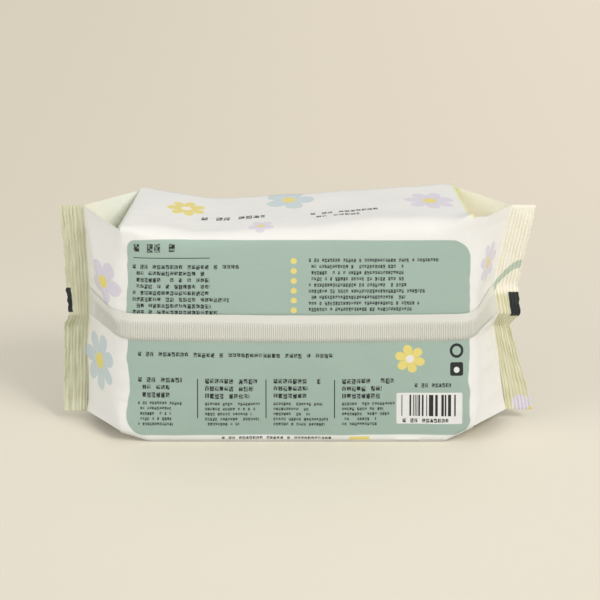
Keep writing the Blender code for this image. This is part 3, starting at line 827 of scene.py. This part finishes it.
label.ink_on(label.small_print(-70.0, 43.6, 100.0, 1.0, 3.2, 1.9, 0.78), black_ink)
label.ink_on(label.small_print(51.0, 29.0, 19.0, 1.0, 3.0, 1.5, 0.8), black_ink)
label.ink_on(label.small_print(-33.0, 3.0, 56.0, 1.0, 1.8, 1.5, 0.85), black_ink)
label.ink_on(label.patch(27.0, 2.0, 4.4, 0.8, 0.3), butter)

# A plain bar pattern on white, two plain round signs and one flower
label.ink_on(label.patch(58.0, 16.6, 14.8, 7.6, 0.8), ink(240, 239, 235))
bar_chance = chance(tree, maths(tree, "FLOOR", maths(tree, "MULTIPLY", label.along, 2.6)))
bars = maths(tree, "GREATER_THAN", bar_chance, 0.48)
bars = maths(tree, "MULTIPLY", bars, label.patch(58.0, 18.0, 13.0, 5.2, 0.1, 0.06))
label.ink_on(bars, black_ink)
label.ink_on(label.small_print(45.8, 11.8, 24.6, 1.0, 3.0, 1.7, 0.8), black_ink)
label.ink_on(label.patch(70.0, 44.0, 3.4, 3.4, 3.4), black_ink)
label.ink_on(label.patch(70.0, 44.0, 2.1, 2.1, 2.1), sage)
label.ink_on(label.patch(70.0, 35.4, 3.2, 3.2, 1.0), black_ink)
label.ink_on(label.patch(70.0, 35.0, 1.4, 1.4, 1.4), ink(236, 238, 232))
label.flower(49.0, 40.4, 6.6, 0.3, 6.0, butter, ink(240, 236, 228))
film_data.materials.append(label.finish())

# The rest of the web: flowers of a plain generic kind, and blocks of large print on the upper side.
# Each flower has its place on the web, its size, its turn, its count of petals and its colour.
cover = FilmPrint("cover_print")
for bloom in (
    (-95.0, 32.0, 13.0, 0.5, 7.0, mist_blue),
    (-88.0, 72.0, 10.0, 0.2, 5.0, lilac),
    (91.0, 80.0, 9.5, 0.7, 7.0, lilac),
    (117.0, 6.0, 10.0, 0.1, 5.0, lilac),
    (-52.0, 128.0, 9.0, 0.4, 7.0, butter),
    (-16.0, 104.0, 6.0, 0.4, 5.0, lilac),
    (-4.0, 140.0, 12.0, 0.0, 5.0, mist_blue),
    (62.0, 131.0, 12.0, 0.6, 7.0, lilac),
    (-66.0, front_v + 18.0, 9.0, 0.3, 7.0, lilac),
    (-64.0, front_v + 78.0, 8.0, 0.9, 5.0, butter),
    (66.0, front_v + 26.0, 7.0, 0.5, 5.0, butter),
    (67.0, front_v + 76.0, 9.0, 0.1, 7.0, mist_blue),
):
    cover.flower(*bloom, butter if bloom[-1] is not butter else ink(247, 240, 225))
for text_block in (
    (-44.0, 119.0, 34.0, 1.0, 7.0, 3.4, 0.7),
    (6.0, 122.0, 36.0, 2.0, 5.0, 2.6, 0.7),
):
    cover.ink_on(cover.small_print(*text_block), black_ink)
# A leaf band over the upper right seal, and the dark marks that the packing line reads
tree = cover.tree
to_band_end = maths(tree, "SUBTRACT", right_end_mm + 11.5, cover.along)
climb = maths(tree, "MULTIPLY", to_band_end, to_band_end)
climb = maths(tree, "MULTIPLY_ADD", climb, -0.085, 75.0)
band = cover.patch(right_end_mm + 5.0, climb, 6.7, 1.9, 0.6, 0.4)
cover.ink_on(band, ink(196, 211, 190))
cover.ink_on(cover.patch(along[0] * 1000 + 0.8, 57.0, 1.5, 5.2, 0.3), black_ink)
cover.ink_on(cover.patch(along[-1] * 1000 - 2.9, 57.0, 2.9, 5.2, 0.3), black_ink)
film_data.materials.append(cover.finish())

# Each face takes the part of the print that it lies in
label_reach = 0.0785
label_top = 0.0995
label_split = 0.0520
web_layer = film_data.uv_layers["web"].data
for face in film_data.polygons:
    places = [web_layer[k].uv for k in face.loop_indices]
    on_label = all(abs(u) < label_reach and v < label_top for u, v in places)
    on_upper_half = all(v > label_split for u, v in places)
    face.material_index = (0 if on_upper_half else 1) if on_label else 2

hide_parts("film_pack")
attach(film_wrapper, "pack")

# Fin seal: the two long edges of the web, pressed together between fluted wheels along the middle
# of the back and folded up flat. Its root is ribbed, its free edge is smooth and a little lifted.
fin_root = 0.0488
fin_width = 0.0124
fin_end_rise = 0.0028
fin_end_rise_run = 0.034
fin_end_run = 0.008
fin_end_lift = 0.45
fin_standoff = 0.0007
fin_sway = 0.0004
fin_thickness = 0.0004
fin_bury = 0.0001
fin_root_notch = 0.0005
fin_rib_pitch = 0.00083
fin_rib_depth = 0.00034
fin_rib_top = 0.70
fin_samples_per_rib = 6
# The fin's rows lie on the web's UV map from here on, 1 mm apart
fin_web_v = 0.3
fin_row_v = 0.001

fin_rows = [(place, 1.0) for place in np.linspace(0.0, 1.0, 15)]
fin_rows += [(place, 0.0) for place in np.linspace(1.0, 0.0, 6)]
run = along[left_seal : right_seal + 1]
fin_places = np.arange(run[0], run[-1], fin_rib_pitch / fin_samples_per_rib)
panel = web[:, : rows_up + 1]
fin_web = np.empty((len(fin_places), len(fin_rows), 3))
for k, place_along in enumerate(fin_places):
    station = left_seal + np.interp(place_along, run, np.arange(len(run)))
    base = int(min(station, right_seal - 1))
    column = blend(panel[base], panel[base + 1], station - base)
    from_end = min(place_along - run[0], run[-1] - place_along)
    root_height = fin_root + fin_end_rise * smooth_step(1 - from_end / fin_end_rise_run)
    rib = 0.5 + 0.5 * math.cos(2 * math.pi * place_along / fin_rib_pitch)
    sway = fin_sway * noise.noise(Vector((place_along * 40, 0.0, 1.5)))
    lift = blend(1.0, fin_end_lift, smooth_step(1 - from_end / fin_end_run))
    for m, (height, outer) in enumerate(fin_rows):
        level = root_height + fin_width * height - fin_root_notch * rib * outer * (height == 0)
        row = np.interp(level, column[:, 2], panel_rows)
        point = np.array([np.interp(row, panel_rows, column[:, axis]) for axis in range(3)])
        near = smooth_step(height / 0.12)
        stand = (fin_standoff + sway) * near + outer * fin_thickness * near - fin_bury
        ribbed = smooth_step((fin_rib_top - height) / 0.04) * smooth_step(height / 0.04 + 0.2)
        stand += outer * fin_rib_depth * rib * ribbed
        point[1] -= stand * lift
        fin_web[k, m] = point

mesh, place = grid_sheet(
    len(fin_places), len(fin_rows), lambda i, j: (fin_places[i], fin_web_v + fin_row_v * j)
)
closed_sheet(mesh, place, fin_web)
fin_seal = object_from(mesh, "fin_seal", 50)

# The grooves between the fin's ribs get painted shade, a little darker, up to the row where its
# smooth edge starts
fin_film, tree, shader = new_material("fin_film")
shader.inputs["Roughness"].default_value = 0.4
groove_end_v = fin_web_v + 9.5 * fin_row_v
fin_uv = tree.nodes.new("ShaderNodeUVMap")
fin_uv.uv_map = "web"
fin_u, fin_v, _ = parts_of(tree, fin_uv.outputs["UV"])
turns = maths(tree, "MULTIPLY", fin_u, 2 * math.pi / fin_rib_pitch)
groove_shade = ramp(tree, maths(tree, "COSINE", turns), -0.9, 0.2, 1.0, 0.0)
on_ribs = ramp(tree, fin_v, groove_end_v, groove_end_v + fin_row_v, 0.6, 0.0)
groove_shade = maths(tree, "MULTIPLY", groove_shade, on_ribs)
fin_colour_with_groove_shade = paint(tree, groove_shade, ink(229, 228, 218), ink(186, 184, 166))
tree.links.new(fin_colour_with_groove_shade, shader.inputs["Base Color"])
creases = place_group(tree, crease_group, Place=object_place(tree), Size=300.0, Crease=0.0)
add_bump(tree, shader, creases.outputs["Height"], 0.2, 0.0003)
fin_seal.data.materials.append(fin_film)
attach(fin_seal, "pack")

# Lid frame: a thin-walled moulding of polypropylene, hot-glued by its flange on the middle of the
# front panel. Its land carries the lid, and the rim inside it is what the lid's plug seals against.
frame_edge = 0.00022
crease_angle = math.radians(28)


def moulding_from(node_name, name, edge_radius):
    """The node's own shape, with its triangles joined up and its edges softened as moulds do."""
    mesh = bmesh.new()
    mesh.from_mesh(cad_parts[node_name].data)
    bmesh.ops.remove_doubles(mesh, verts=mesh.verts, dist=1e-6)
    bmesh.ops.join_triangles(
        mesh,
        faces=mesh.faces,
        angle_face_threshold=math.radians(25),
        angle_shape_threshold=math.radians(70),
    )
    inner_edges = [edge for edge in mesh.edges if edge.is_manifold]
    bmesh.ops.bevel(
        mesh,
        geom=[edge for edge in inner_edges if edge.calc_face_angle() > crease_angle],
        offset=edge_radius,
        affect="EDGES",
        segments=2,
        profile=0.5,
        material=-1,
        clamp_overlap=True,
    )
    bmesh.ops.recalc_face_normals(mesh, faces=mesh.faces)
    for face in mesh.faces:
        face.material_index = 0
    moulding = object_from(mesh, name, 40)
    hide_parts(node_name)
    return moulding


# Fine spark-eroded grain of a mould, with the slight unevenness of the plastic's colour
grain_group, start, end = new_group(
    "mould grain",
    (("Place", "NodeSocketVector", None), *numbers(Grain_size=2600.0)),
    "Height",
    "Patches",
)
tree, given = grain_group, start.outputs
fine = tree.nodes.new("ShaderNodeTexNoise")
tree.links.new(given["Place"], fine.inputs["Vector"])
tree.links.new(given["Grain size"], fine.inputs["Scale"])
tree.links.new(fine.outputs["Fac"], end.inputs["Height"])
patches = ramp(tree, speckle(tree, given["Place"], 16.0), 0.2, 0.8)
tree.links.new(patches, end.inputs["Patches"])


def mould_plastic(name, colour, shade, roughness, grain_size):
    material, tree, shader = new_material(name)
    grain = place_group(tree, grain_group, Place=object_place(tree), Grain_size=grain_size)
    patches = grain.outputs["Patches"]
    tree.links.new(paint(tree, patches, colour, shade), shader.inputs["Base Color"])
    rough = ramp(tree, patches, 0.0, 1.0, roughness - 0.03, roughness + 0.03)
    tree.links.new(rough, shader.inputs["Roughness"])
    add_bump(tree, shader, grain.outputs["Height"], 0.25, 0.00005)
    return material


frame_moulding = moulding_from("lid_frame", "frame_moulding", frame_edge)
frame_plastic = mould_plastic("frame_plastic", ink(236, 239, 232), ink(232, 235, 227), 0.36, 2600.0)
frame_moulding.data.materials.append(frame_plastic)
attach(frame_moulding, "pack")

# Flip lid: the second moulding, joined to the frame by a living hinge along its upper edge. It has
# a softly crowned skin, a plug ring on its underside, and a thumb tab at the free edge.
lid_edge = 0.00028
lid_moulding = moulding_from("flip_lid", "lid_moulding", lid_edge)
lid_colour, lid_shade = ink(229, 236, 227), ink(226, 233, 224)
lid_plastic = mould_plastic("lid_plastic_satin", lid_colour, lid_shade, 0.30, 3200.0)
lid_moulding.data.materials.append(lid_plastic)
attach(lid_moulding, "lid")

# Reseal label: a die-cut sheet of glossy film on removable glue, stuck over the slit that the wipes
# are drawn through. A tab at its edge, without glue, is what fingers pull.
label_edge = 0.00008
seal_label = moulding_from("reseal_label", "seal_label", label_edge)
label_film, tree, shader = new_material("label_film_gloss")
label_place = object_place(tree)
creases = place_group(tree, crease_group, Place=label_place, Size=160.0, Crease=0.15)
cloud = ramp(tree, speckle(tree, label_place, 60.0), 0.3, 0.7)
label_colour = paint(tree, cloud, ink(236, 239, 235), ink(232, 236, 232))
tree.links.new(label_colour, shader.inputs["Base Color"])
shader.inputs["Roughness"].default_value = 0.22
add_bump(tree, shader, creases.outputs["Height"], 0.25, 0.0002)
seal_label.data.materials.append(label_film)
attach(seal_label, "pack")


# Floor and backdrop: one pale sweep, which keeps the pack's shadow
def show_either(tree, output, mask, under, over):
    """Joins two shaders to the output, with the second one where the mask is 1."""
    mixed = tree.nodes.new("ShaderNodeMixShader")
    for value, socket in zip((mask, under.outputs[0], over.outputs[0]), mixed.inputs):
        tree.links.new(value, socket)
    tree.links.new(mixed.outputs[0], tree.nodes[output].inputs["Surface"])


mesh = bmesh.new()
bmesh.ops.create_grid(mesh, x_segments=1, y_segments=1, size=3.0)
floor = object_from(mesh, "floor", 50)
floor_paint, tree, shader = new_material("floor_paint")
rays = tree.nodes.new("ShaderNodeLightPath")
seen = paint(tree, rays.outputs["Is Camera Ray"], ink(216, 214, 208), ink(238, 231, 214))
tree.links.new(seen, shader.inputs["Base Color"])
shader.inputs["Roughness"].default_value = 0.8
# Far from the pack the sweep shows its own even colour, with painted light that makes it a little
# brighter to the right
x, y, _ = parts_of(tree, object_place(tree))
shadow_reach, sweep_start = 0.07, 0.42
far_away = ramp(tree, length_of(tree, x, y), shadow_reach, sweep_start)
sweep_light = tree.nodes.new("ShaderNodeEmission")
painted_light_to_right = ramp(tree, x, -0.40, 0.40)
sweep_colour_with_painted_light = paint(tree, painted_light_to_right, ink(215, 206, 188), ink(232, 221, 202))
tree.links.new(sweep_colour_with_painted_light, sweep_light.inputs["Color"])
seen_far = maths(tree, "MULTIPLY", far_away, rays.outputs["Is Camera Ray"])
show_either(tree, "Material Output", seen_far, shader, sweep_light)
floor.data.materials.append(floor_paint)

# Studio: an even pale surround, which the camera sees in the backdrop's colour, and two soft lamps
world = bpy.data.worlds.new("studio")
world.use_nodes = True
bpy.context.scene.world = world
tree = world.node_tree
background = tree.nodes["Background"]
background.inputs["Color"].default_value = ink(250, 250, 250)
background.inputs["Strength"].default_value = 0.62
behind = tree.nodes.new("ShaderNodeBackground")
behind.inputs["Color"].default_value = ink(223, 213, 194)
rays = tree.nodes.new("ShaderNodeLightPath")
show_either(tree, "World Output", rays.outputs["Is Camera Ray"], background, behind)


def add_lamp(name, place, target, size, power, colour):
    lamp = bpy.data.lights.new(name, "AREA")
    lamp.shape = "DISK"
    lamp.size = size
    lamp.energy = power
    lamp.color = colour
    thing = bpy.data.objects.new(name, lamp)
    thing.location = place
    thing.rotation_euler = (Vector(target) - Vector(place)).to_track_quat("-Z", "Y").to_euler()
    bpy.context.scene.collection.objects.link(thing)


add_lamp("soft_key", (0.80, -0.85, 1.02), (0, 0, 0.05), 0.6, 9.8, (1.0, 0.975, 0.945))
add_lamp("soft_fill", (-1.00, -0.60, 0.60), (0, 0, 0.05), 0.8, 3.4, (0.99, 1.0, 0.97))

# Camera, at the photograph's viewing angle
camera_elevation = math.radians(20)
camera_distance = 0.835
camera_target = Vector((0.0012, 0.0, 0.057))
lens = bpy.data.cameras.new("camera")
lens.lens = 112.0
lens.sensor_width = 36.0
camera = bpy.data.objects.new("camera", lens)
look = Vector((0, math.cos(camera_elevation), -math.sin(camera_elevation)))
camera.location = camera_target - look * camera_distance
camera.rotation_euler = (math.pi / 2 - camera_elevation, 0, 0)
bpy.context.scene.collection.objects.link(camera)
bpy.context.scene.camera = camera
bpy.context.scene.view_settings.view_transform = "Standard"
